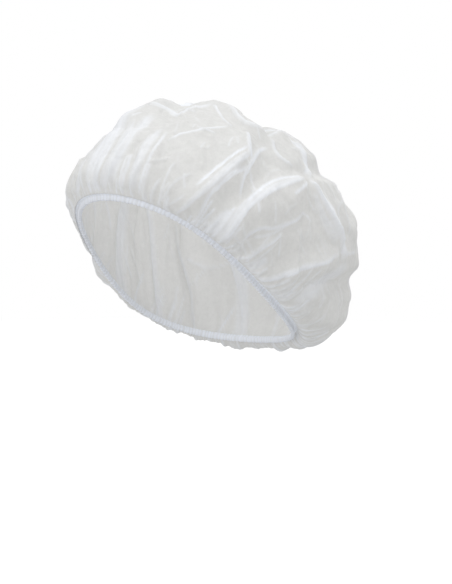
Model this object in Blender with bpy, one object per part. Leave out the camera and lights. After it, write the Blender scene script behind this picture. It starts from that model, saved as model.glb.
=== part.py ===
"""Disposable cap: a round of nonwoven cloth gathered by an elastic, in the form that it has when worn.

Metres, +Z up, the forehead towards -Y and the wearer's left towards +X.
The origin is the middle of the elastic loop, where the cap sits on a head.
Azimuths run round +Z in degrees, from the forehead (0) to the left ear (90) and the nape (180).
A rise is the share of the way up the bag, from the hem (0) to the top (1).
"""

import bisect
import functools
import math

import bmesh
import bpy
from mathutils import Vector

# The elastic loop, which follows the head.
RIM_HALF_WIDTH = 0.075
RIM_FRONT_REACH = 0.098
RIM_BACK_REACH = 0.082
RIM_TILT = 0.109
RIM_EAR_DROP = 0.018

# The bag of cloth: its top above the origin, and how far it stands out past the elastic.
CROWN_RISE = 0.131
SIDE_FULLNESS = 0.028
FRONT_FULLNESS = 0.007
BACK_FULLNESS = 0.065
TOP_FLATNESS = 0.52
CLOTH_WALL = 0.001

# The elastic and the hem that is folded round it.
ELASTIC_WIDTH = 0.002
ELASTIC_THICKNESS = 0.0008
HEM_CLEARANCE = 0.00035
HEM_CORNER = 0.0005

# The gathers that the elastic draws up.
GATHER_COUNT = 28
GATHER_DEPTH = 0.0024
GATHER_START = 0.05
GATHER_REACH = 0.42

# The largest height and half-width of a fold in the bag.
FOLD_HEIGHT = 0.008
FOLD_WIDTH = 0.022

# How finely the cloth is drawn. The hem has 2 columns of faces to a gather, and the three zones of the bag
# have 4, 2 and 1, with these rows.
HEM_COLUMNS = 2 * GATHER_COUNT
LOWER_ROWS = 14
MIDDLE_ROWS = 8
TOP_ROWS = 4
LOWER_ZONE_END = 0.52
MIDDLE_ZONE_END = 0.82

CLOTH_COLOUR = (0.85, 0.86, 0.87, 1.0)
ELASTIC_COLOUR = (0.80, 0.79, 0.76, 1.0)

# One row for each section round the bag, at an azimuth. reach is a share of the bag's oval there. belly is
# the height of the widest place and droop how far the cloth sets off downwards, both as shares of the height
# from the hem to the top. spread and turn say how far the pouch goes outwards and upwards before it bends,
# and shoulder how far the cloth goes up from the belly before it turns to the top.
SECTIONS = [
    {"at": 0, "reach": 0.96, "belly": 0.10, "droop": 0.00, "spread": 0.30, "turn": 0.5, "shoulder": 0.36},
    {"at": 30, "reach": 0.98, "belly": 0.15, "droop": 0.00, "spread": 0.30, "turn": 0.5, "shoulder": 0.40},
    {"at": 60, "reach": 0.97, "belly": 0.25, "droop": 0.00, "spread": 0.35, "turn": 0.3, "shoulder": 0.45},
    {"at": 90, "reach": 1.00, "belly": 0.32, "droop": 0.04, "spread": 0.35, "turn": 0.1, "shoulder": 0.50},
    {"at": 120, "reach": 1.04, "belly": 0.35, "droop": 0.09, "spread": 0.20, "turn": 0.05, "shoulder": 0.50},
    {"at": 150, "reach": 1.04, "belly": 0.37, "droop": 0.15, "spread": 0.06, "turn": 0.18, "shoulder": 0.49},
    {"at": 180, "reach": 1.00, "belly": 0.36, "droop": 0.14, "spread": 0.06, "turn": 0.14, "shoulder": 0.50},
    {"at": 210, "reach": 1.01, "belly": 0.36, "droop": 0.12, "spread": 0.10, "turn": 0.0, "shoulder": 0.54},
    {"at": 240, "reach": 0.99, "belly": 0.34, "droop": 0.07, "spread": 0.20, "turn": 0.0, "shoulder": 0.52},
    {"at": 270, "reach": 0.94, "belly": 0.31, "droop": 0.03, "spread": 0.35, "turn": 0.2, "shoulder": 0.48},
    {"at": 300, "reach": 0.90, "belly": 0.34, "droop": -0.04, "spread": 0.15, "turn": 0.7, "shoulder": 0.34},
    {"at": 330, "reach": 0.92, "belly": 0.20, "droop": -0.04, "spread": 0.10, "turn": 0.8, "shoulder": 0.32},
]

# One row for each main fold of the bag, between two places given by azimuth and rise. height is a share of
# FOLD_HEIGHT, below zero for a dent, and width a share of FOLD_WIDTH.
FOLDS = [
    {"start": (357, 0.40), "end": (344, 0.94), "height": 0.90, "width": 1.20},
    {"start": (32, 0.54), "end": (5, 0.98), "height": -0.50, "width": 0.75},
    {"start": (84, 0.98), "end": (93, 0.60), "height": 0.55, "width": 0.70},
    {"start": (90, 0.70), "end": (138, 0.84), "height": -1.00, "width": 0.85},
    {"start": (122, 0.83), "end": (190, 0.77), "height": -1.00, "width": 0.90},
    {"start": (118, 0.76), "end": (102, 0.50), "height": 0.45, "width": 0.75},
    {"start": (164, 0.59), "end": (110, 0.57), "height": -0.75, "width": 0.70},
    {"start": (110, 0.52), "end": (66, 0.22), "height": 0.60, "width": 0.90},
    {"start": (82, 0.36), "end": (53, 0.03), "height": 0.50, "width": 0.75},
    {"start": (102, 0.53), "end": (124, 0.27), "height": 0.55, "width": 0.85},
    {"start": (128, 0.35), "end": (74, 0.02), "height": 0.50, "width": 0.85},
    {"start": (80, 0.68), "end": (58, 0.33), "height": 0.50, "width": 0.70},
    {"start": (68, 0.46), "end": (34, 0.03), "height": 0.45, "width": 0.65},
    {"start": (90, 0.58), "end": (58, 0.20), "height": -0.35, "width": 0.55},
    {"start": (354, 0.50), "end": (349, 0.03), "height": 0.40, "width": 0.50},
    {"start": (11, 0.49), "end": (3, 0.02), "height": 0.40, "width": 0.50},
    {"start": (26, 0.40), "end": (17, 0.02), "height": 0.35, "width": 0.50},
    {"start": (178, 0.34), "end": (98, 0.15), "height": -0.80, "width": 0.65},
    {"start": (168, 0.22), "end": (112, 0.07), "height": 0.50, "width": 0.65},
    {"start": (154, 0.46), "end": (130, 0.36), "height": 0.40, "width": 0.70},
    {"start": (192, 0.02), "end": (186, 0.49), "height": 0.60, "width": 0.60},
    {"start": (216, 0.02), "end": (230, 0.56), "height": 0.70, "width": 0.65},
    {"start": (245, 0.01), "end": (250, 0.57), "height": 0.60, "width": 0.60},
    {"start": (276, 0.02), "end": (266, 0.58), "height": 0.60, "width": 0.60},
    {"start": (303, 0.04), "end": (306, 0.43), "height": 0.40, "width": 0.55},
    {"start": (328, 0.05), "end": (324, 0.39), "height": 0.40, "width": 0.55},
    {"start": (200, 0.68), "end": (224, 0.42), "height": -0.70, "width": 0.70},
    {"start": (236, 0.74), "end": (270, 0.48), "height": -0.70, "width": 0.75},
]


def clear_scene():
    for item in list(bpy.data.objects):
        bpy.data.objects.remove(item, do_unlink=True)


def mix(low, high, share):
    return low + (high - low) * share


def smooth_step(share):
    share = min(1.0, max(0.0, share))
    return share * share * (3.0 - 2.0 * share)


def section_value(azimuth, column):
    """One column of SECTIONS at any azimuth, on a smooth closed curve through the rows."""
    count = len(SECTIONS)
    place = (azimuth % 360.0) / 360.0 * count
    first = int(place)
    share = place - first
    before, low, high, after = (SECTIONS[(first + step) % count][column] for step in (-1, 0, 1, 2))
    slope = high - before
    bend = 2 * before - 5 * low + 4 * high - after
    twist = 3 * (low - high) + after - before
    return low + 0.5 * share * (slope + share * (bend + share * twist))


def oval_reach(azimuth, half_width, front, back):
    """How far an egg-shaped outline reaches from the origin, seen from above."""
    side, ahead = math.sin(math.radians(azimuth)), math.cos(math.radians(azimuth))
    return 1.0 / math.hypot(side / half_width, ahead / (front if ahead > 0 else back))


def at_reach(azimuth, reach, height):
    turn = math.radians(azimuth)
    return Vector((reach * math.sin(turn), -reach * math.cos(turn), height))


def rim_point(azimuth):
    """The middle of the elastic at an azimuth."""
    turn = math.radians(azimuth)
    reach = oval_reach(azimuth, RIM_HALF_WIDTH, RIM_FRONT_REACH, RIM_BACK_REACH)
    height = RIM_TILT / 2 * math.cos(turn) - RIM_EAR_DROP / 2 * (1.0 - math.cos(2 * turn))
    return at_reach(azimuth, reach, height)


def in_rim_frame(azimuth, out, up):
    """A point beside the elastic, by its distance out from the head and up the cloth."""
    step = 0.5
    along = (rim_point(azimuth + step) - rim_point(azimuth - step)).normalized()
    radial = at_reach(azimuth, 1.0, 0.0)
    outward = (radial - along * radial.dot(along)).normalized()
    upward = outward.cross(along).normalized()
    return rim_point(azimuth) + outward * out + upward * up


def hem_half_sizes():
    """(out, up): how far the middle of the hem's wall stands from the middle of the elastic."""
    beside = HEM_CLEARANCE + CLOTH_WALL / 2
    return ELASTIC_THICKNESS / 2 + beside, ELASTIC_WIDTH / 2 + beside


def hem_path():
    """(out, up) of the cloth's middle, from its free edge round the elastic to where the bag begins."""
    out, up = hem_half_sizes()
    corner = HEM_CORNER
    return [
        (-out + corner, up),
        (-out, up - corner),
        (-out, -up + corner),
        (-out + corner, -up),
        (out - corner, -up),
        (out, -up + corner),
        (out, up),
        (out + 0.4 * CLOTH_WALL, up + 0.9 * CLOTH_WALL),
        (out + 1.4 * CLOTH_WALL, up + 1.5 * CLOTH_WALL),
    ]


def bag_start(azimuth):
    """Where the bag leaves the hem, far enough out to hang clear of it."""
    out, up = hem_half_sizes()
    start = in_rim_frame(azimuth, out + 2.4 * CLOTH_WALL + HEM_CLEARANCE, up + 1.2 * CLOTH_WALL)
    return math.hypot(start.x, start.y), start.z


def bezier(points, share):
    rest = 1.0 - share
    weights = (rest**3, 3 * rest * rest * share, 3 * rest * share * share, share**3)
    return sum(w * p[0] for w, p in zip(weights, points)), sum(w * p[1] for w, p in zip(weights, points))


def section_curves(azimuth):
    """The section's two curves, as control points: from the hem to the belly, and from there to the top."""
    start_reach, start = bag_start(azimuth)
    full = oval_reach(
        azimuth, RIM_HALF_WIDTH + SIDE_FULLNESS, RIM_FRONT_REACH + FRONT_FULLNESS, RIM_BACK_REACH + BACK_FULLNESS
    )
    reach = max(full * section_value(azimuth, "reach"), start_reach + CLOTH_WALL)
    height = CROWN_RISE - start
    belly = start + height * section_value(azimuth, "belly")
    leaving_reach = mix(start_reach, reach, section_value(azimuth, "spread"))
    leaving = (leaving_reach, start - height * section_value(azimuth, "droop"))
    arriving = (reach, mix(start, belly, section_value(azimuth, "turn")))
    shoulder = (reach, mix(belly, CROWN_RISE, section_value(azimuth, "shoulder")))
    flat = (reach * TOP_FLATNESS, CROWN_RISE)
    lower = ((start_reach, start), leaving, arriving, (reach, belly))
    return lower, ((reach, belly), shoulder, flat, (0.0, CROWN_RISE))


@functools.lru_cache(maxsize=None)
def section_line(azimuth):
    """Points up a section: the share of its length, the reach and the height of each."""
    steps = 40
    lower, upper = section_curves(azimuth)
    points = [bezier(lower, step / steps) for step in range(steps)]
    points += [bezier(upper, step / steps) for step in range(steps + 1)]
    lengths = [0.0]
    for before, after in zip(points, points[1:]):
        lengths.append(lengths[-1] + math.dist(before, after))
    return [(length / lengths[-1], *point) for length, point in zip(lengths, points)]


def smooth_bag(azimuth, rise):
    """A point of the bag before gathers and folds."""
    line = section_line(azimuth % 360.0)
    after = min(max(bisect.bisect_left(line, (rise,)), 1), len(line) - 1)
    (low_share, low_reach, low), (high_share, high_reach, high) = line[after - 1], line[after]
    share = (rise - low_share) / (high_share - low_share)
    return at_reach(azimuth, mix(low_reach, high_reach, share), mix(low, high, share))


def bag_normal(azimuth, rise):
    """The way out of the smooth bag."""
    around, along = 1.0, 0.01
    rise = min(1.0 - 2 * along, max(2 * along, rise))
    round_way = smooth_bag(azimuth + around, rise) - smooth_bag(azimuth - around, rise)
    up_way = smooth_bag(azimuth, rise + along) - smooth_bag(azimuth, rise - along)
    return round_way.cross(up_way).normalized()


def gather_height(azimuth, rise):
    """How far a gather lifts the cloth: most at GATHER_START, just past the hem, and nothing past GATHER_REACH."""
    wave = 0.5 + 0.5 * math.cos(math.radians(azimuth * GATHER_COUNT))
    growth = smooth_step(rise / GATHER_START)
    fade = 1.0 - smooth_step((rise - GATHER_START) / (GATHER_REACH - GATHER_START))
    return GATHER_DEPTH * wave * growth * fade


def fold_line(fold):
    """Points along the middle of a fold on the smooth bag."""
    steps = 6
    (from_azimuth, from_rise), (to_azimuth, to_rise) = fold["start"], fold["end"]
    line = []
    for step in range(steps + 1):
        share = step / steps
        line.append(smooth_bag(mix(from_azimuth, to_azimuth, share), mix(from_rise, to_rise, share)))
    return line


def fold_height(point, fold, line):
    """How far one fold lifts the cloth at a point: a rounded ridge that runs out at both ends."""
    half_width = FOLD_WIDTH * fold["width"]
    nearest, place = half_width, 0.0
    for index, (start, end) in enumerate(zip(line, line[1:])):
        run = end - start
        share = min(1.0, max(0.0, (point - start).dot(run) / run.length_squared))
        distance = (point - start - run * share).length
        if distance < nearest:
            nearest, place = distance, (index + share) / (len(line) - 1)
    ridge = smooth_step(1.0 - nearest / half_width)
    ends = smooth_step(4.0 * place) * smooth_step(4.0 * (1.0 - place))
    return FOLD_HEIGHT * fold["height"] * ridge * ends


def cloth_point(azimuth, rise, fold_lines):
    """The middle of the cloth, with its gathers and folds: where folds meet, only the largest counts."""
    point = smooth_bag(azimuth, rise)
    heights = [fold_height(point, fold, line) for fold, line in zip(FOLDS, fold_lines)]
    lift = gather_height(azimuth, rise) + max(0.0, *heights) + min(0.0, *heights)
    return point + bag_normal(azimuth, rise) * lift


def add_ring(mesh, count, place):
    """A ring of vertices, one for each column of the mesh, at place(azimuth)."""
    return [mesh.verts.new(place(360.0 * column / count)) for column in range(count)]


def join_rings(mesh, lower, upper):
    """Faces between two rings, with as many vertices each or one with twice as many as the other."""
    coarse, fine = (lower, upper) if len(lower) < len(upper) else (upper, lower)
    for column, start in enumerate(coarse):
        end = coarse[(column + 1) % len(coarse)]
        if len(fine) == len(coarse):
            mesh.faces.new((start, end, fine[(column + 1) % len(fine)], fine[column]))
            continue
        first, middle, last = fine[2 * column], fine[2 * column + 1], fine[(2 * column + 2) % len(fine)]
        mesh.faces.new((start, middle, first))
        mesh.faces.new((start, end, middle))
        mesh.faces.new((end, last, middle))


def close_top(mesh, ring, apex):
    for column, vertex in enumerate(ring):
        mesh.faces.new((vertex, ring[(column + 1) % len(ring)], apex))


def bag_rows():
    """(columns, rise) of each ring up the bag, closer together by the hem."""
    rows = []
    for row in range(LOWER_ROWS + 1):
        rows.append((4 * GATHER_COUNT, LOWER_ZONE_END * (row / LOWER_ROWS) ** 1.1))
    for row in range(1, MIDDLE_ROWS + 1):
        rows.append((2 * GATHER_COUNT, mix(LOWER_ZONE_END, MIDDLE_ZONE_END, row / MIDDLE_ROWS)))
    for row in range(1, TOP_ROWS):
        rows.append((GATHER_COUNT, mix(MIDDLE_ZONE_END, 1.0, row / TOP_ROWS)))
    return rows


def add_object(name, mesh, material):
    """An object from a bmesh, with its faces turned outwards and its material."""
    bmesh.ops.recalc_face_normals(mesh, faces=mesh.faces[:])
    data = bpy.data.meshes.new(name)
    mesh.to_mesh(data)
    mesh.free()
    data.materials.append(material)
    data.shade_smooth()
    made = bpy.data.objects.new(name, data)
    bpy.context.scene.collection.objects.link(made)
    return made


def plain_material(name, colour, roughness):
    material = bpy.data.materials.new(name)
    material.use_nodes = True
    shader = material.node_tree.nodes["Principled BSDF"]
    shader.inputs["Base Color"].default_value = colour
    shader.inputs["Roughness"].default_value = roughness
    shader.inputs["Metallic"].default_value = 0.0
    return material


def make_crown():
    """The bag and its hem, one piece of cloth."""
    fold_lines = [fold_line(fold) for fold in FOLDS]
    mesh = bmesh.new()
    rings = []
    for out, up in hem_path():
        rings.append(add_ring(mesh, HEM_COLUMNS, lambda azimuth: in_rim_frame(azimuth, out, up)))
    for count, rise in bag_rows():
        rings.append(add_ring(mesh, count, lambda azimuth: cloth_point(azimuth, rise, fold_lines)))
    for lower, upper in zip(rings, rings[1:]):
        join_rings(mesh, lower, upper)
    close_top(mesh, rings[-1], mesh.verts.new(cloth_point(0.0, 1.0, fold_lines)))
    crown = add_object("crown", mesh, plain_material("nonwoven cloth", CLOTH_COLOUR, 0.8))
    wall = crown.modifiers.new("wall", "SOLIDIFY")
    wall.thickness = CLOTH_WALL
    wall.offset = 0.0
    wall.use_quality_normals = True
    return crown


def make_elastic():
    """The flat elastic inside the hem, standing on its edge."""
    half_thickness, half_width = ELASTIC_THICKNESS / 2, ELASTIC_WIDTH / 2
    mesh = bmesh.new()
    corners = ((1, -1), (1, 1), (-1, 1), (-1, -1))
    rings = []
    for out, up in corners:
        place = (out * half_thickness, up * half_width)
        rings.append(add_ring(mesh, HEM_COLUMNS, lambda azimuth: in_rim_frame(azimuth, *place)))
    for lower, upper in zip(rings, rings[1:] + rings[:1]):
        join_rings(mesh, lower, upper)
    return add_object("elastic_band", mesh, plain_material("elastic", ELASTIC_COLOUR, 0.6))


def main():
    clear_scene()
    make_crown()
    make_elastic()


if __name__ == "__main__":
    main()
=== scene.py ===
# %% [markdown]
# A disposable cap is one round of nonwoven cloth with an elastic in its folded edge. Worn, the elastic draws the
# edge together, so the cloth stands up in gathers there and puffs out above them. This lesson dresses a CAD model
# of such a cap: the same form, with far finer gathers, creases and a cloth that lets light through.

import math

import bpy
import numpy as np
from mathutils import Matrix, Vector, noise


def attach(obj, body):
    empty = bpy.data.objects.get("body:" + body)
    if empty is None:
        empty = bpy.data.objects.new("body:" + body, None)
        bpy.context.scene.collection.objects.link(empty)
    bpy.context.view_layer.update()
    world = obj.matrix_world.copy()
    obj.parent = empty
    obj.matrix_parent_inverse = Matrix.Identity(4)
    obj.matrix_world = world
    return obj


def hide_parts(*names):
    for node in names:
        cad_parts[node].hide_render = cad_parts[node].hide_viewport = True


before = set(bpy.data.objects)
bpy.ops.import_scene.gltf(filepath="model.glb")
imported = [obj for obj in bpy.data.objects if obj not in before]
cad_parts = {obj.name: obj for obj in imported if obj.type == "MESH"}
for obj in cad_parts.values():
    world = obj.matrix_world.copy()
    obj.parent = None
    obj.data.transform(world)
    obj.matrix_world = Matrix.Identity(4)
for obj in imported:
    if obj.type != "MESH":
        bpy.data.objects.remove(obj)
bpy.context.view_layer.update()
bpy.ops.object.select_all(action="DESELECT")

# %% [markdown]
# The view comes first. The reference view is level, from the left of the forehead, and a little to the side of
# the cap and below its middle. Its frame is taller than wide, so the sensor is fitted to the height.

# %% Camera
VIEW_AZIMUTH = 42.0
VIEW_DISTANCE = 1.6
VIEW_RIGHT = 0.026
VIEW_DOWN = 0.0156
VIEW_LENS = 126.4


def place_camera():
    turn = math.radians(VIEW_AZIMUTH)
    back = Vector((math.sin(turn), -math.cos(turn), 0.0))
    right = Vector((math.cos(turn), math.sin(turn), 0.0))
    place = back * VIEW_DISTANCE + right * VIEW_RIGHT - Vector((0.0, 0.0, VIEW_DOWN))
    bpy.ops.object.camera_add(location=place, rotation=back.to_track_quat("Z", "Y").to_euler())
    camera = bpy.context.object
    camera.name = "camera"
    camera.data.sensor_fit = "VERTICAL"
    camera.data.sensor_height = 36.0
    camera.data.lens = VIEW_LENS
    bpy.context.scene.camera = camera
    return camera


camera = place_camera()
print("camera at", tuple(round(value, 3) for value in camera.location))

# %% [markdown]
# Two small helpers serve every material. Colours are written as the hex values that a picture editor shows, and a
# shader wants them linear, so one function turns them. The other adds a node, gives it its settings and links it.

# %% Helpers for materials


def linear(hex_colour):
    """A colour for a shader from an sRGB hex value such as F4F4F2."""
    shares = [int(hex_colour[place : place + 2], 16) / 255.0 for place in (0, 2, 4)]
    return tuple(share / 12.92 if share <= 0.04045 else ((share + 0.055) / 1.055) ** 2.4 for share in shares) + (1.0,)


def add_node(tree, kind, settings=None, links=None):
    """Adds a node. settings are its properties, or its sockets' values by name or number, and links are what
    feeds its sockets."""
    node = tree.nodes.new(kind)
    for name, value in (settings or {}).items():
        if isinstance(name, int) or (isinstance(name, str) and not hasattr(node, name)):
            node.inputs[name].default_value = value
        else:
            setattr(node, name, value)
    for name, source in (links or {}).items():
        tree.links.new(source, node.inputs[name])
    return node


def new_material(name):
    """An empty material and its node tree, with the output node."""
    material = bpy.data.materials.new(name)
    material.use_nodes = True
    material.node_tree.nodes.clear()
    return material, material.node_tree, add_node(material.node_tree, "ShaderNodeOutputMaterial")


# F3F7FF is the white of doubled cloth, and also of the painted highlights on crests and ribs.
print("the white of doubled cloth, linear:", [round(value, 3) for value in linear("F3F7FF")])

# %% [markdown]
# The studio is a pale floor, a white world and soft lamps. Thin white cloth shows its folds only where the light
# comes more from one side than from the others. So the world lights the cap more dimly than it looks, and the floor
# sends no light back up to it. A ceiling light comes from above, and four small lamps, in front, low in front, at
# the side and behind, give the folds a light and a dark side.

# %% Floor, world and lamps
FLOOR_HEIGHT = -0.32


def make_floor():
    bpy.ops.mesh.primitive_plane_add(size=30.0, location=(0.0, 0.0, FLOOR_HEIGHT))
    floor = bpy.context.object
    floor.name = "floor"
    material, tree, output = new_material("matt white studio floor")
    place = add_node(tree, "ShaderNodeTexCoord")
    cloud = add_node(tree, "ShaderNodeTexNoise", {"Scale": 3.0, "Detail": 3.0}, {"Vector": place.outputs["Object"]})
    shade = add_node(tree, "ShaderNodeMix", {"data_type": "RGBA", 6: linear("F6F6F6"), 7: linear("FAFAFA")})
    tree.links.new(cloud.outputs["Fac"], shade.inputs[0])
    paint = add_node(tree, "ShaderNodeBsdfDiffuse", None, {"Color": shade.outputs[2]})
    tree.links.new(paint.outputs[0], output.inputs["Surface"])
    floor.data.materials.append(material)
    floor.visible_diffuse = floor.visible_transmission = False


def make_world(light, seen):
    """A white world that lights the cap dimly and is seen bright behind it."""
    world = bpy.data.worlds.new("studio")
    world.use_nodes = True
    tree = world.node_tree
    tree.nodes.clear()
    path = add_node(tree, "ShaderNodeLightPath")
    dim = add_node(tree, "ShaderNodeBackground", {"Color": (1.0, 1.0, 1.0, 1.0), "Strength": light})
    bright = add_node(tree, "ShaderNodeBackground", {"Color": (1.0, 1.0, 1.0, 1.0), "Strength": seen})
    links = {0: path.outputs["Is Camera Ray"], 1: dim.outputs[0], 2: bright.outputs[0]}
    both = add_node(tree, "ShaderNodeMixShader", None, links)
    add_node(tree, "ShaderNodeOutputWorld", None, {"Surface": both.outputs[0]})
    bpy.context.scene.world = world


def add_lamp(name, place, size, power):
    """A square soft lamp that looks at the cap."""
    way = Vector(place).normalized()
    bpy.ops.object.light_add(type="AREA", location=place, rotation=way.to_track_quat("Z", "Y").to_euler())
    lamp = bpy.context.object
    lamp.name = name
    lamp.data.size = size
    lamp.data.energy = power


def add_sky_lamp(strength, spread):
    """An even light from straight above, as from a wide ceiling softbox."""
    bpy.ops.object.light_add(type="SUN", location=(0.0, 0.0, 3.0))
    lamp = bpy.context.object
    lamp.name = "ceiling_lamp"
    lamp.data.energy = strength
    lamp.data.angle = math.radians(spread)


make_floor()
make_world(light=0.60, seen=1.0)
add_sky_lamp(1.70, 50.0)
add_lamp("key_lamp", (-0.3, -2.0, 0.8), 0.6, 8.0)
add_lamp("fill_lamp", (1.2, -1.8, -0.15), 1.0, 11.0)
add_lamp("side_lamp", (1.9, 1.1, 1.0), 0.5, 9.0)
add_lamp("back_lamp", (-0.9, 2.1, 1.0), 0.5, 9.0)
bpy.context.scene.view_settings.view_transform = "Standard"

# %% [markdown]
# The bag of cloth follows the CAD model, so its measures are the CAD model's. Seen from above, the elastic and the
# bag are egg-shaped. Seen from the side, the cloth leaves the elastic, bellies out and turns over to the top, and a
# table says how, every 30 degrees round the head. Azimuths run from the forehead (0) to the left ear (90) and the
# nape (180), and a rise is the share of the way up the cloth, from the hem (0) to the top (1).

# %% The form of the cap, in metres
RIM_HALF_WIDTH, RIM_FRONT, RIM_BACK = 0.075, 0.098, 0.082
RIM_TILT, RIM_EAR_DROP = 0.109, 0.018
CROWN_RISE, TOP_FLATNESS = 0.131, 0.52
SIDE_FULLNESS, FRONT_FULLNESS, BACK_FULLNESS = 0.028, 0.007, 0.065
HEM_OUT, HEM_UP, HEM_CORNER = 0.00125, 0.00185, 0.0005
BAG_OUT, BAG_UP = 0.0040, 0.00305

SECTION_COLUMNS = ("reach", "belly", "droop", "spread", "turn", "shoulder")
SECTION_ROWS = (
    (0.96, 0.10, 0.00, 0.30, 0.50, 0.36),
    (0.98, 0.15, 0.00, 0.30, 0.50, 0.40),
    (0.97, 0.25, 0.00, 0.35, 0.30, 0.45),
    (1.00, 0.32, 0.04, 0.35, 0.10, 0.50),
    (1.04, 0.35, 0.09, 0.20, 0.05, 0.50),
    (1.04, 0.37, 0.15, 0.06, 0.18, 0.49),
    (1.00, 0.36, 0.14, 0.06, 0.14, 0.50),
    (1.01, 0.36, 0.12, 0.10, 0.00, 0.54),
    (0.99, 0.34, 0.07, 0.20, 0.00, 0.52),
    (0.94, 0.31, 0.03, 0.35, 0.20, 0.48),
    (0.90, 0.34, -0.04, 0.15, 0.70, 0.34),
    (0.92, 0.20, -0.04, 0.10, 0.80, 0.32),
)


def section_at(azimuth):
    """The section's shares at any azimuth, on a smooth closed curve through the rows."""
    rows = np.array(SECTION_ROWS)
    place = (azimuth % 360.0) / 360.0 * len(rows)
    first = int(place)
    share = place - first
    before, low, high, after = (rows[(first + step) % len(rows)] for step in (-1, 0, 1, 2))
    bend, twist = 2 * before - 5 * low + 4 * high - after, 3 * (low - high) + after - before
    return dict(zip(SECTION_COLUMNS, low + 0.5 * share * (high - before + share * (bend + share * twist))))


def oval_reach(azimuth, half_width, front, back):
    """How far an egg-shaped outline reaches from the origin, seen from above."""
    side, ahead = np.sin(np.radians(azimuth)), np.cos(np.radians(azimuth))
    return 1.0 / np.hypot(side / half_width, ahead / np.where(ahead > 0, front, back))


def at_reach(azimuth, reach, height):
    """Points from azimuths, reaches and heights."""
    turn = np.radians(azimuth)
    return np.stack((reach * np.sin(turn), -reach * np.cos(turn), height + 0.0 * turn), axis=-1)


def rim_points(azimuth):
    """The middle of the elastic."""
    turn = np.radians(azimuth)
    height = RIM_TILT / 2 * np.cos(turn) - RIM_EAR_DROP / 2 * (1.0 - np.cos(2 * turn))
    return at_reach(azimuth, oval_reach(azimuth, RIM_HALF_WIDTH, RIM_FRONT, RIM_BACK), height)


def unit(vectors):
    return vectors / np.linalg.norm(vectors, axis=-1, keepdims=True)


def rim_frame(azimuth):
    """The ways out from the head and up the cloth, beside the elastic."""
    along = unit(rim_points(azimuth + 0.5) - rim_points(azimuth - 0.5))
    radial = at_reach(azimuth, 1.0 + 0.0 * azimuth, 0.0)
    outward = unit(radial - along * np.sum(radial * along, axis=-1, keepdims=True))
    return outward, unit(np.cross(outward, along))


def bezier(points, shares):
    rest = 1.0 - shares
    weights = (rest**3, 3 * rest * rest * shares, 3 * rest * shares * shares, shares**3)
    return sum(weight[:, None] * np.array(point) for weight, point in zip(weights, points))


def section_line(azimuth):
    """Points up a section, as shares of its length, reaches and heights, and its length."""
    outward, upward = rim_frame(np.array([azimuth]))
    start = (rim_points(np.array([azimuth])) + outward * BAG_OUT + upward * BAG_UP)[0]
    begin = (math.hypot(start[0], start[1]), start[2])
    row = section_at(azimuth)
    ends = (RIM_HALF_WIDTH + SIDE_FULLNESS, RIM_FRONT + FRONT_FULLNESS, RIM_BACK + BACK_FULLNESS)
    reach = max(float(oval_reach(azimuth, *ends)) * row["reach"], begin[0] + 0.001)
    height = CROWN_RISE - begin[1]
    belly = begin[1] + height * row["belly"]
    leaving = (begin[0] + (reach - begin[0]) * row["spread"], begin[1] - height * row["droop"])
    arriving = (reach, begin[1] + (belly - begin[1]) * row["turn"])
    shoulder = (reach, belly + (CROWN_RISE - belly) * row["shoulder"])
    shares = np.linspace(0.0, 1.0, 49)
    lower = bezier((begin, leaving, arriving, (reach, belly)), shares)
    upper = bezier(((reach, belly), shoulder, (reach * TOP_FLATNESS, CROWN_RISE), (0.0, CROWN_RISE)), shares)
    line = np.concatenate((lower, upper[1:]))
    lengths = np.concatenate(([0.0], np.cumsum(np.linalg.norm(np.diff(line, axis=0), axis=1))))
    return lengths / lengths[-1], line[:, 0], line[:, 1], lengths[-1]


def smooth_bag(azimuths, rises):
    """Points of the bag before gathers and folds, one row for each rise, and each section's length."""
    lines = [section_line(azimuth) for azimuth in azimuths]
    reaches = np.stack([np.interp(rises, line[0], line[1]) for line in lines], axis=1)
    heights = np.stack([np.interp(rises, line[0], line[2]) for line in lines], axis=1)
    lengths = np.array([line[3] for line in lines])
    return at_reach(np.array(azimuths)[None, :] + 0.0 * reaches, reaches, heights), lengths


def bag_point(azimuth, rise):
    return smooth_bag([azimuth], [rise])[0][0, 0]


front_length, nape_length = (round(float(section_line(azimuth)[3]), 3) for azimuth in (0.0, 180.0))
print("length of cloth from the hem to the top, at the forehead and nape:", front_length, nape_length)

# %% [markdown]
# A sheet of cloth needs small faces where it is gathered and may have larger ones near the top. So the rings of
# points are laid in three zones, each with half as many points to a ring as the one below. The hem has six points
# to each of its ribs.

# %% Rings of points
RIB_COUNT = 196
COLUMNS = 6 * RIB_COUNT
FINE_END, MAIN_END = 0.055, 0.90


def bag_rises():
    fine = np.linspace(0.0, FINE_END, 9)
    main = np.linspace(FINE_END, MAIN_END, 112)[1:]
    top = np.linspace(MAIN_END, 0.995, 9)[1:]
    return np.concatenate((fine, main, top))


azimuths = np.arange(COLUMNS) * 360.0 / COLUMNS
rises = bag_rises()
smooth, section_lengths = smooth_bag(azimuths, rises)
round_way = np.roll(smooth, -1, axis=1) - np.roll(smooth, 1, axis=1)
up_way = np.gradient(smooth, axis=0)
normals = unit(np.cross(round_way, up_way))
print("rings:", len(rises), "points in the finest ring:", COLUMNS)

# %% [markdown]
# The elastic makes the cloth stand in gathers. At the hem there is one to each rib, and a little higher they join
# in pairs, so each size of gather starts where the smaller one fades. Real gathers are uneven: waves that don't
# repeat shift them along the hem, and others make some taller than their neighbours.

# %% Gathers
# One row for each size of gather: how many there are, how tall they are, and the rises where they start, are
# tallest and end.
GATHER_ROWS = (
    (196, 0.00040, -0.02, 0.00, 0.05),
    (98, 0.00075, 0.00, 0.03, 0.15),
    (56, 0.00120, 0.01, 0.08, 0.34),
    (28, 0.00220, 0.02, 0.12, 0.60),
)


def smooth_step(share):
    share = np.clip(share, 0.0, 1.0)
    return share * share * (3.0 - 2.0 * share)


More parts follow.
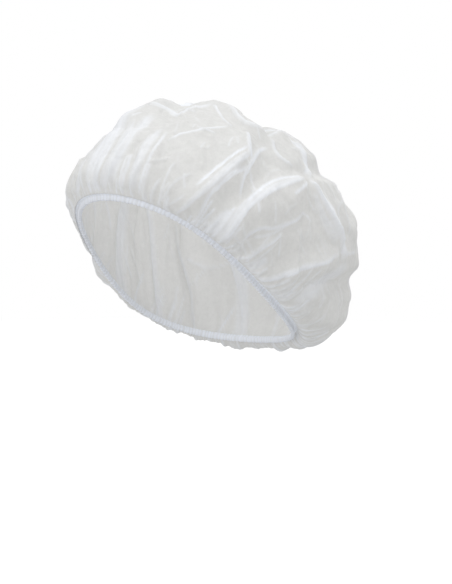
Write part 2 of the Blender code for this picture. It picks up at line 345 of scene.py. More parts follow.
def uneven(azimuth, pace, seed):
    """A wave between -1 and 1 round the cap that doesn't look regular."""
    turn = np.radians(azimuth)
    waves = ((1.0, 0.0), (1.7, 2.1), (2.9, 4.4), (4.3, 1.3))
    total = sum(np.sin(round(pace * speed) * turn + shift + seed) for speed, shift in waves)
    return total / len(waves)


def gather_lift(azimuth, rise):
    lift = 0.0
    for count, height, start, tallest, end in GATHER_ROWS:
        pitch = 360.0 / count
        shifted = azimuth + 0.55 * pitch * uneven(azimuth, count / 7.0, count)
        shifted = shifted + pitch * rise * uneven(azimuth, 9, count)
        wave = (0.5 + 0.5 * np.cos(np.radians(shifted * count))) ** 1.5
        strength = 0.75 + 0.45 * uneven(azimuth, count / 3.0, 2.0 * count)
        growth = smooth_step((rise - start) / (tallest - start))
        fade = 1.0 - smooth_step((rise - tallest) / (end - tallest))
        lift = lift + height * wave * strength * (growth * fade)
    return lift


gathers = gather_lift(azimuths[None, :], rises[:, None])
print("tallest gather, mm:", round(1000 * float(gathers.max()), 2))

# %% [markdown]
# Folds come in two kinds. Broad rounded ones give the cap its puffs and hollows, and they are the CAD model's.
# Sharp ones are creases: two flat slopes up to a narrow strip, because stiff thin cloth bends along lines and falls
# over double. Each is a path of places on the cloth, with a height and the strip's width. Where the cloth lies in
# many pleats too fine to draw, a band of it is only whiter.

# %% Tables of folds
# Broad folds: azimuth and rise of the start and the end, then height and half-width as shares of 8 and 22 mm.
BROAD_HEIGHT, BROAD_WIDTH = 0.008, 0.022
BROAD_ROWS = (
    ((357, 0.40), (344, 0.94), 0.90, 1.20),
    ((32, 0.54), (5, 0.98), -0.50, 0.75),
    ((84, 0.98), (93, 0.60), 0.55, 0.70),
    ((90, 0.70), (138, 0.84), -1.00, 0.85),
    ((122, 0.83), (190, 0.77), -1.00, 0.90),
    ((118, 0.76), (102, 0.50), 0.45, 0.75),
    ((164, 0.59), (110, 0.57), -0.75, 0.70),
    ((110, 0.52), (66, 0.22), 0.60, 0.90),
    ((82, 0.36), (53, 0.03), 0.50, 0.75),
    ((102, 0.53), (124, 0.27), 0.55, 0.85),
    ((128, 0.35), (74, 0.02), 0.50, 0.85),
    ((80, 0.68), (58, 0.33), 0.50, 0.70),
    ((68, 0.46), (34, 0.03), 0.45, 0.65),
    ((90, 0.58), (58, 0.20), -0.35, 0.55),
    ((354, 0.50), (349, 0.03), 0.40, 0.50),
    ((11, 0.49), (3, 0.02), 0.40, 0.50),
    ((26, 0.40), (17, 0.02), 0.35, 0.50),
    ((178, 0.34), (98, 0.15), -0.80, 0.65),
    ((168, 0.22), (112, 0.07), 0.50, 0.65),
    ((154, 0.46), (130, 0.36), 0.40, 0.70),
    ((192, 0.02), (186, 0.49), 0.60, 0.60),
    ((216, 0.02), (230, 0.56), 0.70, 0.65),
    ((245, 0.01), (250, 0.57), 0.60, 0.60),
    ((276, 0.02), (266, 0.58), 0.60, 0.60),
    ((303, 0.04), (306, 0.43), 0.40, 0.55),
    ((328, 0.05), (324, 0.39), 0.40, 0.55),
    ((200, 0.68), (224, 0.42), -0.70, 0.70),
    ((236, 0.74), (270, 0.48), -0.70, 0.75),
)
# Creases: how much of a second layer lies there (1 is a whole one), the height in mm, and a path of azimuths, rises
# and the width in mm of the strip where the cloth lies doubled.
CREASE_ROWS = (
    (0.70, 2.4, ((106, 0.51, 1), (97, 0.47, 2.5), (88, 0.43, 4), (78, 0.37, 5),
                 (69, 0.29, 5.5), (62, 0.20, 6.5), (57, 0.10, 8), (53, 0.01, 9))),
    (0.60, 2.4, ((78, 0.55, 1), (67, 0.45, 3.5), (59, 0.37, 4.5), (53, 0.29, 4),
                 (46, 0.19, 3), (39, 0.09, 1.8), (34, 0.01, 1.2))),
    (0.90, 0.8, ((103, 0.50, 0.8), (90, 0.46, 1), (80, 0.41, 1.2), (71, 0.33, 1.2), (64, 0.24, 1.2))),
    (0.90, 0.8, ((74, 0.54, 0.8), (65, 0.47, 1), (57, 0.39, 1.2), (50, 0.30, 1.2), (43, 0.19, 1))),
    (0.80, 1.6, ((79, 0.64, 1.5), (74, 0.55, 2.5), (72, 0.47, 2.5))),
    (0.80, 1.4, ((91, 0.60, 1.5), (81, 0.55, 2), (73, 0.47, 2.5), (68, 0.40, 2), (65, 0.34, 1.5), (63, 0.26, 1.2))),
    (0.70, 1.2, ((72, 0.45, 1.5), (65, 0.39, 1.5), (59, 0.33, 1.6), (54, 0.27, 1.8),
                 (50, 0.21, 1.8), (47, 0.14, 1.6), (45, 0.07, 1.4))),
    (0.70, 1.0, ((67, 0.42, 1.2), (58, 0.33, 1.4), (53, 0.25, 1.5), (49, 0.19, 1.5), (46, 0.11, 1.2))),
    (0.60, 1.8, ((100, 0.67, 1), (95, 0.61, 2.5), (93, 0.56, 3.5), (96, 0.54, 2.5), (100, 0.53, 1))),
    (0.60, 2.4, ((130, 0.69, 1.5), (126, 0.64, 3), (120, 0.59, 4), (114, 0.55, 3), (106, 0.50, 1.5))),
    (0.90, 2.4, ((105, 0.49, 1.5), (108, 0.47, 2), (111, 0.42, 2.2), (115, 0.38, 2.2),
                 (120, 0.35, 2), (123, 0.33, 1.5))),
    (0.40, 0.6, ((105, 0.45, 1.5), (106, 0.41, 4), (109, 0.36, 7), (113, 0.34, 9), (116, 0.32, 8))),
    (0.80, 2.0, ((118, 0.30, 1.5), (106, 0.23, 2), (96, 0.18, 2.5), (87, 0.12, 3), (80, 0.05, 3), (77, 0.01, 2.5))),
    (0.70, 1.2, ((98, 0.37, 1.2), (90, 0.31, 1.5), (84, 0.27, 1.8), (78, 0.23, 1.6),
                 (72, 0.20, 1.5), (67, 0.15, 1.5), (63, 0.08, 1.4))),
    (0.70, 1.2, ((84, 0.25, 1.2), (79, 0.19, 1.6), (74, 0.14, 1.6), (70, 0.08, 1.6), (69, 0.03, 1.4))),
    (0.80, 1.0, ((103, 0.48, 1.5), (97, 0.44, 1.5), (89, 0.39, 1.2))),
    (0.60, 1.0, ((347, 0.64, 4), (350, 0.50, 6), (357, 0.32, 7), (360, 0.17, 7), (359, 0.07, 6), (356, 0.01, 5))),
    (0.50, 1.0, ((0, 0.52, 4), (5, 0.35, 6), (6, 0.21, 6), (5, 0.10, 6), (2, 0.01, 5))),
    (0.50, 0.9, ((21, 0.42, 3), (19, 0.31, 4), (19, 0.21, 4), (18, 0.12, 4), (18, 0.05, 3.5))),
    (0.60, 1.1, ((28, 0.47, 1), (26, 0.35, 1.2), (24, 0.24, 1.3), (22, 0.13, 1.3), (20, 0.02, 1.2))),
    (0.60, 1.0, ((14, 0.25, 1.2), (14, 0.14, 1.3), (13, 0.04, 1.2))),
    (0.60, 1.0, ((348, 0.34, 4), (347, 0.20, 5), (346, 0.09, 5), (342, 0.02, 4))),
    (0.60, 0.8, ((352, 0.66, 4), (13, 0.72, 4), (28, 0.70, 3), (46, 0.79, 3), (79, 0.87, 3))),
    (0.70, 0.9, ((30, 0.40, 1), (37, 0.48, 1.2), (47, 0.55, 1.2), (57, 0.60, 1.2), (69, 0.65, 1.2))),
    (0.50, 1.8, ((91, 0.86, 1.5), (82, 0.75, 2.5), (86, 0.68, 3), (99, 0.68, 2.5), (116, 0.70, 2), (127, 0.68, 1.5))),
    (0.60, 0.9, ((73, 0.85, 1), (69, 0.72, 1.2), (71, 0.65, 1.2))),
    (0.40, 1.0, ((141, 0.54, 1.2), (139, 0.50, 1.5), (125, 0.44, 1.5), (123, 0.38, 1.2))),
    (0.60, 0.9, ((140, 0.34, 1.2), (126, 0.31, 1.4), (118, 0.30, 1.4))),
    (0.60, 0.9, ((88, 0.02, 1.2), (92, 0.05, 1.4), (97, 0.10, 1.2))),
    (0.60, 0.9, ((90, 0.01, 1.2), (94, 0.06, 1.3), (94, 0.11, 1.2))),
    (0.50, 0.8, ((99, 0.01, 1.2), (103, 0.04, 1.2), (102, 0.09, 1.2))),
    (0.40, 0.7, ((43, 0.27, 0.8), (36, 0.19, 1), (31, 0.09, 1), (27, 0.02, 1))),
    (0.40, 0.7, ((40, 0.15, 0.8), (35, 0.09, 1), (30, 0.03, 1))),
    (0.50, 0.8, ((87, 0.29, 1), (79, 0.22, 1.2), (75, 0.19, 1.2), (69, 0.15, 1))),
    (0.50, 0.8, ((94, 0.35, 1), (98, 0.35, 1.2), (101, 0.34, 1))),
    (0.50, 0.9, ((58, 0.20, 1.2), (52, 0.11, 1.4), (47, 0.05, 1.2))),
    (0.50, 0.9, ((63, 0.16, 1.2), (60, 0.11, 1.4), (58, 0.05, 1.2))),
    (0.00, -2.4, ((137, 0.26, 0), (109, 0.17, 0), (98, 0.12, 0))),
    (0.50, 2.6, ((150, 0.80, 1), (143, 0.62, 3), (133, 0.47, 1.5), (130, 0.36, 1))),
    (0.50, 3.4, ((164, 0.52, 1), (156, 0.38, 3), (149, 0.22, 4), (144, 0.08, 3), (143, 0.01, 3))),
    (0.45, 2.2, ((174, 0.34, 1), (166, 0.24, 2), (160, 0.10, 2), (158, 0.02, 1.5))),
    (0.50, 3.2, ((190, 0.66, 1), (189, 0.50, 2.5), (181, 0.30, 3.5), (176, 0.10, 3), (176, 0.01, 3))),
    (0.45, 1.8, ((199, 0.42, 1), (193, 0.28, 2), (190, 0.12, 2), (191, 0.02, 1.5))),
    (0.55, 3.6, ((222, 0.58, 1), (214, 0.44, 3), (205, 0.26, 5), (201, 0.10, 4), (200, 0.01, 4))),
    (0.45, 2.0, ((230, 0.38, 1), (224, 0.26, 2), (221, 0.12, 2), (221, 0.02, 1.5))),
    (0.50, 3.4, ((250, 0.54, 1), (241, 0.40, 3), (238, 0.20, 4), (236, 0.01, 3))),
    (0.50, 3.2, ((268, 0.72, 1), (258, 0.56, 3), (259, 0.34, 4), (256, 0.12, 3), (256, 0.01, 3))),
    (0.45, 2.0, ((284, 0.40, 1), (276, 0.28, 2), (275, 0.12, 2), (274, 0.02, 1.5))),
    (0.50, 3.0, ((300, 0.56, 1), (291, 0.38, 3), (294, 0.18, 4), (292, 0.02, 3))),
    (0.50, 2.8, ((324, 0.76, 1), (313, 0.54, 3), (317, 0.30, 4), (315, 0.02, 3))),
    (0.45, 2.0, ((340, 0.46, 1), (335, 0.26, 3), (338, 0.03, 3))),
    (0.50, 2.6, ((300, 0.92, 1), (278, 0.78, 3), (256, 0.74, 3), (238, 0.79, 1))),
    (0.40, 2.2, ((206, 0.62, 1), (218, 0.56, 2.5), (236, 0.53, 3), (250, 0.56, 1))),
    (0.40, 2.2, ((150, 0.58, 1), (166, 0.55, 2.5), (182, 0.60, 1))),
    (0.40, 2.0, ((172, 0.86, 1), (200, 0.80, 2.5), (222, 0.84, 1))),
    (0.40, 1.8, ((176, 0.70, 1), (196, 0.76, 2), (208, 0.68, 1.5), (214, 0.60, 0.8))),
    (0.40, 1.8, ((232, 0.90, 1), (246, 0.80, 2), (242, 0.68, 1.5), (250, 0.60, 0.8))),
    (0.40, 1.8, ((304, 0.80, 1), (296, 0.70, 2), (304, 0.62, 1.5), (300, 0.54, 0.8))),
    (0.40, 1.6, ((206, 0.34, 0.8), (216, 0.30, 1.5), (226, 0.32, 0.8))),
    (0.40, 1.6, ((262, 0.46, 0.8), (272, 0.42, 1.5), (284, 0.48, 0.8))),
    (0.00, -2.6, ((160, 0.20, 0), (172, 0.40, 0), (170, 0.62, 0))),
    (0.00, -2.6, ((222, 0.16, 0), (228, 0.34, 0), (224, 0.56, 0))),
    (0.00, -2.6, ((248, 0.14, 0), (250, 0.36, 0), (246, 0.54, 0))),
    (0.00, -2.4, ((276, 0.70, 0), (282, 0.48, 0), (304, 0.30, 0))),
)
# Bands of fine pleats: how much of a second layer lies there, and a path like a crease's.
PLEAT_PITCH = 0.0045
PLEAT_ROWS = (
    (0.50, ((338, 0.74, 16), (346, 0.60, 26), (352, 0.42, 28), (356, 0.22, 26), (357, 0.03, 22))),
    (0.45, ((10, 0.62, 8), (9, 0.42, 14), (8, 0.22, 14), (7, 0.03, 12))),
    (0.40, ((24, 0.50, 6), (21, 0.34, 11), (19, 0.18, 12), (18, 0.03, 10))),
    (0.70, ((330, 0.70, 12), (334, 0.84, 22), (350, 0.92, 24), (30, 0.94, 16), (60, 0.92, 10))),
    (0.45, ((104, 0.98, 10), (110, 0.90, 14), (120, 0.82, 16), (126, 0.72, 14), (122, 0.62, 10))),
    (0.55, ((128, 0.70, 12), (122, 0.62, 16), (114, 0.56, 12), (105, 0.51, 6))),
    (0.60, ((105, 0.49, 4), (111, 0.43, 14), (117, 0.38, 22), (122, 0.33, 24), (124, 0.28, 16))),
    (0.40, ((130, 0.28, 16), (118, 0.22, 22), (106, 0.14, 20), (98, 0.05, 14))),
    (0.50, ((60, 0.20, 8), (54, 0.12, 14), (50, 0.02, 16))),
    (0.45, ((78, 0.12, 6), (74, 0.07, 14), (72, 0.01, 14))),
    (0.40, ((212, 0.62, 10), (206, 0.36, 16), (202, 0.05, 14))),
    (0.40, ((262, 0.72, 10), (258, 0.40, 16), (260, 0.04, 14))),
    (0.40, ((316, 0.66, 10), (314, 0.36, 16), (316, 0.04, 14))),
)
print("broad folds:", len(BROAD_ROWS), "creases:", len(CREASE_ROWS), "bands of pleats:", len(PLEAT_ROWS))

# %% [markdown]
# One function measures every point against a path: how far away it is, how far along and on which side. A crease
# then lifts the cloth in two straight slopes up to a strip where the cloth lies doubled. The strip stands a little
# higher and has faint streaks along it. It is whitest at its left edge, which is a painted highlight along the fold
# on top of its real second layer. The crease runs out at its ends.

# %% Folding functions
STRIP_EDGE = 0.0012
SLOPE_SHARE, STRIP_SHARE = 0.70, 0.30
RUN_OUT, STREAK_PACE = 6.0, 2400.0
points, outward_ways = smooth.reshape(-1, 3), normals.reshape(-1, 3)


def curve_through(values, places):
    """Values on a smooth curve through a list, at places that count along the list."""
    padded = np.concatenate((values[:1], values, values[-1:]))
    first = np.minimum(places.astype(int), len(values) - 2)
    share = places - first
    before, low, high, after = (padded[first + step] for step in range(4))
    bend, twist = 2 * before - 5 * low + 4 * high - after, 3 * (low - high) + after - before
    return low + 0.5 * share * (high - before + share * (bend + share * twist))


def path_on_cloth(places, steps=4):
    """Points of the smooth bag along a smooth path through azimuths and rises, which may cross the forehead."""
    turns = np.degrees(np.unwrap(np.radians([place[0] for place in places])))
    counts = np.linspace(0.0, len(places) - 1.0, steps * (len(places) - 1) + 1)
    path_rises = np.clip(curve_through(np.array([place[1] for place in places]), counts), 0.0, 0.99)
    return np.array([bag_point(*place) for place in zip(curve_through(turns, counts), path_rises)])


def near_path(line, reach):
    """For the points within reach of a path: which they are, the distance, the place along it from 0 to 1, and
    the side, 1 on the left of someone who walks along it and -1 on the right."""
    chosen = np.flatnonzero(np.all((points > line.min(0) - reach) & (points < line.max(0) + reach), axis=1))
    spots, ways = points[chosen], outward_ways[chosen]
    nearest, place, side = np.full(len(spots), 1.0), np.zeros(len(spots)), np.zeros(len(spots))
    for index, (start, end) in enumerate(zip(line, line[1:])):
        run = end - start
        share = np.clip((spots - start) @ run / (run @ run), 0.0, 1.0)
        offset = spots - start - share[:, None] * run
        distance = np.linalg.norm(offset, axis=1)
        closer = distance < nearest
        nearest[closer] = distance[closer]
        place[closer] = (index + share[closer]) / (len(line) - 1)
        side[closer] = np.sign(np.sum(np.cross(ways[closer], run) * offset[closer], axis=1))
    inside = nearest < reach
    return chosen[inside], nearest[inside], place[inside], side[inside]


def broad_lift():
    """The rounded folds: where they meet, only the largest ridge and the deepest dent count."""
    ridge, dent = np.zeros(len(points)), np.zeros(len(points))
    for start, end, height, width in BROAD_ROWS:
        turn = end[0] - start[0]
        places = [(start[0] + turn * step / 6, start[1] + (end[1] - start[1]) * step / 6) for step in range(7)]
        line = np.array([bag_point(*spot) for spot in places])
        chosen, distance, place, _side = near_path(line, BROAD_WIDTH * width)
        rounded = smooth_step(1.0 - distance / (BROAD_WIDTH * width))
        ends = smooth_step(4.0 * place) * smooth_step(4.0 * (1.0 - place))
        lift = BROAD_HEIGHT * height * rounded * ends
        ridge[chosen] = np.maximum(ridge[chosen], lift)
        dent[chosen] = np.minimum(dent[chosen], lift)
    return ridge + dent


def crease(places, whiteness, height, slope_width, ridges, dents, doubled_and_highlights):
    """Adds one crease to the arrays, where the largest so far counts. Sizes are in metres, the widths in mm."""
    line = path_on_cloth(places)
    widths = np.array([place[2] for place in places]) / 1000
    chosen, distance, place, side = near_path(line, widths.max() / 2 + slope_width)
    half_width = np.interp(place * (len(widths) - 1), np.arange(len(widths)), widths) / 2
    beyond = np.maximum(distance - half_width, 0.0)
    strip = smooth_step(1.0 - beyond / STRIP_EDGE)
    ends = smooth_step(RUN_OUT * place) * smooth_step(RUN_OUT * (1.0 - place))
    lift = height * ends * (SLOPE_SHARE * np.clip(1.0 - beyond / slope_width, 0.0, 1.0) + STRIP_SHARE * strip)
    if height > 0:
        ridges[chosen] = np.maximum(ridges[chosen], lift)
    else:
        dents[chosen] = np.minimum(dents[chosen], lift)
    # Painted highlight: the strip is made whiter towards its left edge than towards its right.
    across = 0.5 + 0.5 * side * np.clip(distance / (half_width + 0.0004), 0.0, 1.0)
    streaks = 0.85 + 0.15 * np.sin(STREAK_PACE * side * distance + 7.0 * np.sin(6.0 * place))
    doubled_and_highlights[chosen] = np.maximum(doubled_and_highlights[chosen], whiteness * strip * ends * (0.50 + 0.50 * across) * streaks)


def soft_band(places, whiteness, doubled_and_highlights):
    """Marks a band where the cloth lies in many fine pleats, which fades at its sides."""
    line = path_on_cloth(places)
    widths = np.array([place[2] for place in places]) / 1000
    chosen, distance, place, side = near_path(line, widths.max() / 2)
    half_width = np.interp(place * (len(widths) - 1), np.arange(len(widths)), widths) / 2
    ends = smooth_step(5.0 * place) * smooth_step(5.0 * (1.0 - place))
    pleats = 0.88 + 0.12 * np.sin(2.0 * math.pi * side * distance / PLEAT_PITCH + 3.0 * np.sin(9.0 * place))
    sides = smooth_step(1.3 * (1.0 - distance / half_width))
    doubled_and_highlights[chosen] = np.maximum(doubled_and_highlights[chosen], whiteness * pleats * ends * sides)


broad = broad_lift()
ridges, dents, doubled_and_highlights = np.zeros(len(points)), np.zeros(len(points)), np.zeros(len(points))
for whiteness, height, places in CREASE_ROWS:
    crease(places, whiteness, height / 1000, 0.003 + 0.0026 * abs(height), ridges, dents, doubled_and_highlights)
for whiteness, places in PLEAT_ROWS:
    soft_band(places, whiteness, doubled_and_highlights)
print("creases lift up to, mm:", round(1000 * float(ridges.max()), 2))

# %% [markdown]
# Between the main folds the cloth is never quite flat. Thin nonwoven takes hundreds of small creases from being
# packed, and they stay. They are scattered here with a fixed seed: near the hem they run up with the gathers, and
# higher up they run every way.

# %% Small creases
SMALL_COUNT, HEM_CREASE_COUNT = 420, 130
chance = np.random.default_rng(7)


def small_crease_places():
    """Azimuths and rises of the ends of the small creases."""
    rows = []
    for _ in range(SMALL_COUNT):
        azimuth, rise = chance.uniform(0.0, 360.0), chance.uniform(0.04, 0.97) ** 1.15
        upright = smooth_step((0.55 - rise) / 0.45)
        heading = chance.normal(0.0, 0.35) * upright + chance.uniform(-1.6, 1.6) * (1.0 - upright)
        length = chance.uniform(0.008, 0.032)
        around = math.degrees(length * math.sin(heading) / 0.095) / max(0.2, math.sin(math.pi * min(0.5, 1.0 - rise)))
        along = length * math.cos(heading) / 0.22
        width = chance.uniform(0.2, 1.0)
        bend = chance.uniform(-0.12, 0.12)
        middle = (azimuth + around * (0.5 + bend), min(0.985, max(0.02, rise + along * (0.5 - bend))), width)
        end = (azimuth + around, min(0.985, max(0.02, rise + along)), width / 2)
        rows.append(((azimuth, rise, width / 2), middle, end))
    return rows


small_ridges, small_dents = np.zeros(len(points)), np.zeros(len(points))
for places in small_crease_places():
    height = chance.uniform(0.25, 1.0) / 1000 * chance.choice((1.0, 1.0, -1.0))
    # Painted highlight: the crests of the small ridges are made whiter, and the dents are not.
    whiteness = chance.uniform(0.1, 0.5) if height > 0 else 0.0
    crease(places, whiteness, height, chance.uniform(0.002, 0.007), small_ridges, small_dents, doubled_and_highlights)


def hem_crease_places(azimuth):
    """A thin crease that rises from the hem and leans back, as the cloth is drawn towards the nape."""
    top = chance.uniform(0.05, 0.24) * (0.5 if 95.0 < azimuth < 175.0 else 1.0)
    lean = (55.0 * math.sin(math.radians(azimuth)) + chance.uniform(-12.0, 12.0)) * top
    width = chance.uniform(0.6, 1.5)
    return ((azimuth, 0.002, width), (azimuth + 0.4 * lean, 0.5 * top, width), (azimuth + lean, top, width / 2))


for azimuth in chance.uniform(0.0, 360.0, HEM_CREASE_COUNT):
    places = hem_crease_places(azimuth)
    # Painted highlight: each crease from the hem is made whiter along its crest.
    whiteness, height = chance.uniform(0.3, 0.8), chance.uniform(0.4, 1.1) / 1000
    crease(places, whiteness, height, 0.0025, small_ridges, small_dents, doubled_and_highlights)
print("small creases:", SMALL_COUNT, "and from the hem:", HEM_CREASE_COUNT)

# %% [markdown]
# The lifts are added up along the way out of the bag. A little noise with ridges, read at each place in space,
# keeps the slopes from being perfectly flat.

# %% The bag's points


def crumple(spots, size, height):
    """A faint ridged noise at a scale in metres."""
    values = [noise.ridged_multi_fractal(Vector(spot) / size, 0.9, 2.1, 3, 1.0, 1.6) for spot in spots]
    values = np.array(values)
    return height * (values - values.mean()) / values.std()


bag_fade = smooth_step(np.repeat(rises, COLUMNS) / 0.06)
faint = crumple(points * np.array((1.0, 1.0, 0.6)), 0.030, 0.00035)
lift = gathers.reshape(-1) + broad + (ridges + dents + small_ridges + small_dents + faint) * bag_fade
bag = smooth + normals * lift.reshape(smooth.shape[:2] + (1,))
print("lift from, to in mm:", round(1000 * float(lift.min()), 1), round(1000 * float(lift.max()), 1))

# %% [markdown]
# The hem is the same cloth, folded inwards round the elastic. The elastic pulls it into ribs that stand side by
# side, which is why the real edge looks like a thin ribbed rope.

# %% The hem's points
RIB_HEIGHT = 0.32
HEM_PATH = (
    (-HEM_OUT + HEM_CORNER, HEM_UP, 0.3),
    (-HEM_OUT, HEM_UP - HEM_CORNER, 0.4),
    (-HEM_OUT, 0.0, 0.4),
    (-HEM_OUT, -HEM_UP + HEM_CORNER, 0.5),
    (-HEM_OUT + HEM_CORNER, -HEM_UP, 0.8),
    (HEM_OUT - HEM_CORNER, -HEM_UP, 1.0),
    (HEM_OUT, -HEM_UP + HEM_CORNER, 1.0),
    (HEM_OUT, -0.3 * HEM_UP, 1.0),
    (HEM_OUT, 0.4 * HEM_UP, 1.0),
    (HEM_OUT, HEM_UP, 0.8),
    (HEM_OUT + 0.0008, HEM_UP + 0.0008, 0.4),
    (HEM_OUT + 0.0018, HEM_UP + 0.0012, 0.2),
)


def hem_ribs():
    """How far each point of a ring is up a rib, from 0 to about 1."""
    shifted = azimuths + 0.35 * (360.0 / RIB_COUNT) * uneven(azimuths, RIB_COUNT / 6.0, 3.0)
    rib = (0.5 + 0.5 * np.cos(np.radians(shifted * RIB_COUNT))) ** 0.7
    return rib * (0.8 + 0.3 * uneven(azimuths, RIB_COUNT / 2.5, 1.0))


def hem_rings():
    """The hem's rings, from the cloth's free edge to where the bag begins."""
    outward, upward = rim_frame(azimuths)
    middle = rim_points(azimuths)
    rings = []
    for out, up, share in HEM_PATH:
        size = 1.0 + RIB_HEIGHT * share * (rib - 0.15)
        rings.append(middle + outward * (out * size)[:, None] + upward * (up * size)[:, None])
    return rings


rib = hem_ribs()
hem = hem_rings()
print("hem rings:", len(hem))

# %% [markdown]
# Rings become faces: four-sided ones between rings of the same size, and threes where a ring has half as many
# points as the one below. The top closes in a last point. Each point also gets its place on the flat round of
# cloth, which is the map that the threads and weld dots follow.

# %% Build the crown


def join_rings(lower, upper):
    """Faces between two rings of vertex numbers."""
    faces = []
    count = len(upper)
    for column in range(count):
        after = (column + 1) % count
        if len(lower) == count:
            faces.append((lower[column], lower[after], upper[after], upper[column]))
        else:
            first, middle, last = lower[2 * column], lower[2 * column + 1], lower[(2 * column + 2) % len(lower)]
            faces += [(first, middle, upper[column]), (middle, upper[after], upper[column])]
            faces.append((middle, last, upper[after]))
    return faces


def zone_step(rise):
    """Every how many columns a ring keeps a point."""
    if rise <= FINE_END:
        return 1
    if rise <= MAIN_END:
        return 2
    return 4 if rise < 0.95 else 8


def build_crown():
    spots, flat, rings = [], [], []
    length_to_hem = [0.0]
    for before, after in zip(HEM_PATH[::-1], HEM_PATH[-2::-1]):
        length_to_hem.append(length_to_hem[-1] + math.dist(before[:2], after[:2]))
    rows = [(ring, 1, section_lengths + further) for ring, further in zip(hem, length_to_hem[::-1])]
    rows += [(bag[row], zone_step(rise), section_lengths * (1.0 - rise)) for row, rise in enumerate(rises)]
    for ring, step, from_top in rows:
        first = len(spots)
        spots += [tuple(spot) for spot in ring[::step]]
        turn = np.radians(azimuths[::step])
        flat += list(zip(from_top[::step] * np.sin(turn), -from_top[::step] * np.cos(turn)))
        rings.append(list(range(first, len(spots))))
    spots.append(tuple(np.mean(np.array([spots[index] for index in rings[-1]]), axis=0)))
    flat.append((0.0, 0.0))
    faces = []
    for lower, upper in zip(rings, rings[1:]):
        faces += join_rings(lower, upper)
    last = rings[-1]
    faces += [(last[column], last[(column + 1) % len(last)], len(spots) - 1) for column in range(len(last))]
    mesh = bpy.data.meshes.new("nonwoven_crown")
    mesh.from_pydata(spots, [], faces)
    cloth_map = mesh.uv_layers.new(name="flat_cloth")
    order = np.zeros(len(mesh.loops), np.int32)
    mesh.loops.foreach_get("vertex_index", order)
    cloth_map.data.foreach_set("uv", np.array(flat, np.float32)[order].ravel())
    mesh.shade_smooth()
    crown = bpy.data.objects.new("nonwoven_crown", mesh)
    bpy.context.scene.collection.objects.link(crown)
    return crown, len(hem) * COLUMNS


crown, hem_points = build_crown()
triangles = sum(len(face.vertices) - 2 for face in crown.data.polygons)
area = sum(face.area for face in crown.data.polygons)
print("crown triangles:", triangles, "area:", round(area, 4))

# %% [markdown]
# How dense the cloth looks depends on its layers. One layer lets some light straight through, and the hem and the
# fallen creases are two or three layers, so they look whiter. A value on each point says how much. The same value
# also carries painted light: painted highlights on the crests of the gathers, the small creases, the hem's ribs and
# along one edge of each crease's strip, and painted shade in the valleys between the hem's ribs.

# %% Layers of cloth
# The hem's real extra layers, which also scale its ribs' painted highlights and painted shade.
HEM_LAYER_AND_RIB_SHADE = 0.95
# How strong the painted highlight on the crests of the gathers is.
GATHER_CREST_HIGHLIGHT = 0.55


def gather_crest_highlight(row):
    """A painted highlight on the crests of the gathers, which fades up from the hem."""
    crest = gathers[row] / max(1e-6, float(gathers[row].max()))
    return GATHER_CREST_HIGHLIGHT * smooth_step((crest - 0.3) / 0.7) * (1.0 - smooth_step(rises[row] / 0.13))


def mark_layers_and_painted_light():
    layers_and_painted_light = np.zeros(len(crown.data.vertices), np.float32)
    # Painted light: the hem is whiter on the crests of its ribs and darker in the valleys between them, where shade
    # falls.
    layers_and_painted_light[:hem_points] = np.tile(np.clip(HEM_LAYER_AND_RIB_SHADE * (0.65 + 0.5 * rib), 0.0, 1.0), len(hem))
    rings = doubled_and_highlights.reshape(len(rises), COLUMNS)
    place = hem_points
    for row, rise in enumerate(rises):
        kept = np.maximum(rings[row], gather_crest_highlight(row))[:: zone_step(rise)]
        layers_and_painted_light[place : place + len(kept)] = kept
        place += len(kept)
    attribute = crown.data.attributes.new("layers_and_painted_light", "FLOAT", "POINT")
    attribute.data.foreach_set("value", layers_and_painted_light)


mark_layers_and_painted_light()
print("layers marked on", len(crown.data.vertices), "points")

# %% [markdown]
# The cloth is spunbond polypropylene: fine plastic threads laid every way and welded in a grid of tiny dots, about
# 15 grams to the square metre. It is white because the threads scatter light, and thin enough that some light
# goes straight between them. So a pale matt surface with a faint sheen is mixed with one that glows from light
# behind it, and both with a clear one. The threads bunch into clouds a few millimetres wide, which make the cloth
# denser in some places. Threads are 0.02 mm, too fine to show, so they are drawn as streaks about 0.9 mm wide, and
# the weld dots, really about 1.4 mm apart, stand 1.8 mm apart.

# %% Nonwoven cloth
CLOUD_SIZE, THREAD_SIZE, DOT_PITCH = 0.007, 0.0009, 0.0018


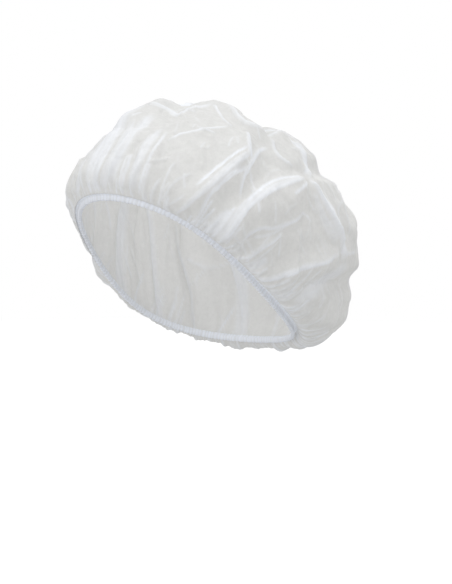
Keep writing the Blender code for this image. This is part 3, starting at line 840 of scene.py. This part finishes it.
def make_nonwoven():
    material, tree, output = new_material("spunbond polypropylene, white")
    place = add_node(tree, "ShaderNodeUVMap", {"uv_map": "flat_cloth"}).outputs[0]
    spot = add_node(tree, "ShaderNodeTexCoord").outputs["Object"]
    clouds = {"Scale": 1 / CLOUD_SIZE, "Detail": 4.0, "Roughness": 0.6}
    cloud = add_node(tree, "ShaderNodeTexNoise", clouds, {"Vector": spot})
    threads = {"Scale": 1 / THREAD_SIZE, "Detail": 2.0, "Distortion": 2.5}
    thread = add_node(tree, "ShaderNodeTexNoise", threads, {"Vector": place})
    dots = add_node(tree, "ShaderNodeTexVoronoi", {"Scale": 1 / DOT_PITCH, "Randomness": 0.15}, {"Vector": place})
    layers_and_painted_light = add_node(tree, "ShaderNodeAttribute", {"attribute_name": "layers_and_painted_light"}).outputs["Fac"]
    shades = {"data_type": "RGBA", 6: linear("DEDEDC"), 7: linear("ECECEB")}
    shade = add_node(tree, "ShaderNodeMix", shades, {0: cloud.outputs["Fac"]}).outputs[2]
    # This white shows doubled cloth, and also the painted highlights and the rib shade that the same value carries.
    white = {"data_type": "RGBA", 7: linear("F3F7FF")}
    whiter = add_node(tree, "ShaderNodeMix", white, {0: layers_and_painted_light, 6: shade}).outputs[2]
    open_cloud = add_node(
        tree, "ShaderNodeMapRange", {1: 0.30, 2: 0.72, 3: 0.11, 4: 0.04}, {0: cloud.outputs["Fac"]}
    ).outputs[0]
    open_thread = add_node(
        tree, "ShaderNodeMapRange", {1: 0.3, 2: 0.7, 3: 0.02, 4: -0.02}, {0: thread.outputs["Fac"]}
    ).outputs[0]
    open_both = add_node(tree, "ShaderNodeMath", {"operation": "ADD"}, {0: open_cloud, 1: open_thread}).outputs[0]
    remainder = {"operation": "SUBTRACT", 0: 1.0, "use_clamp": True}
    single = add_node(tree, "ShaderNodeMath", remainder, {1: layers_and_painted_light}).outputs[0]
    product = {"operation": "MULTIPLY", "use_clamp": True}
    openness = add_node(tree, "ShaderNodeMath", product, {0: open_both, 1: single}).outputs[0]
    sunken = {1: 0.15, 2: 0.45, 3: -0.5, 4: 0.0}
    weld = add_node(tree, "ShaderNodeMapRange", sunken, {0: dots.outputs["Distance"]}).outputs[0]
    relief = add_node(tree, "ShaderNodeMath", {"operation": "ADD"}, {0: thread.outputs["Fac"], 1: weld}).outputs[0]
    bump = add_node(tree, "ShaderNodeBump", {"Strength": 0.12, "Distance": 0.00015}, {"Height": relief}).outputs[0]
    front = add_node(
        tree,
        "ShaderNodeBsdfPrincipled",
        {"Roughness": 0.75, "Specular IOR Level": 0.25, "Sheen Weight": 0.12, "Sheen Roughness": 0.5, "IOR": 1.49},
        {"Base Color": whiter, "Normal": bump},
    )
    glow = add_node(tree, "ShaderNodeBsdfTranslucent", None, {"Color": whiter, "Normal": bump})
    through = add_node(tree, "ShaderNodeMapRange", {1: 0.0, 2: 1.0, 3: 0.40, 4: 0.16}, {0: layers_and_painted_light}).outputs[0]
    cloth = add_node(tree, "ShaderNodeMixShader", None, {0: through, 1: front.outputs[0], 2: glow.outputs[0]})
    clear = add_node(tree, "ShaderNodeBsdfTransparent")
    whole = add_node(tree, "ShaderNodeMixShader", None, {0: openness, 1: cloth.outputs[0], 2: clear.outputs[0]})
    tree.links.new(whole.outputs[0], output.inputs["Surface"])
    return material


crown.data.materials.append(make_nonwoven())
print("material:", crown.data.materials[0].name)

# %% [markdown]
# The elastic is a flat strand of rubber threads wrapped in yarn. It lies inside the hem, and shows only faintly
# through it, so the CAD node's shape is enough. Its wrapping gives it fine slanting ridges 0.5 mm apart.

# %% Elastic
WRAP_PITCH = 0.0005


def make_elastic():
    material, tree, output = new_material("yarn-covered rubber elastic")
    place = add_node(tree, "ShaderNodeTexCoord").outputs["Object"]
    wrap = add_node(
        tree,
        "ShaderNodeTexWave",
        {"Scale": 0.5 / WRAP_PITCH, "Distortion": 1.5, "Detail": 2.0, "bands_direction": "DIAGONAL"},
        {"Vector": place},
    )
    yarn = add_node(
        tree, "ShaderNodeMix", {"data_type": "RGBA", 6: linear("DAD8D2"), 7: linear("F3F2EE")}, {0: wrap.outputs["Fac"]}
    ).outputs[2]
    height = wrap.outputs["Fac"]
    bump = add_node(tree, "ShaderNodeBump", {"Strength": 0.5, "Distance": 0.0001}, {"Height": height}).outputs[0]
    shader = add_node(
        tree, "ShaderNodeBsdfPrincipled", {"Roughness": 0.7, "Sheen Weight": 0.1}, {"Base Color": yarn, "Normal": bump}
    )
    tree.links.new(shader.outputs[0], output.inputs["Surface"])
    return material


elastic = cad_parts["elastic_band"]
elastic.data.materials.clear()
elastic.data.materials.append(make_elastic())
print("elastic:", elastic.data.materials[0].name)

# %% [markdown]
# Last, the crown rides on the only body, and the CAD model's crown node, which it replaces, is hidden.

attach(crown, "root")
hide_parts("crown")
bpy.context.view_layer.update()
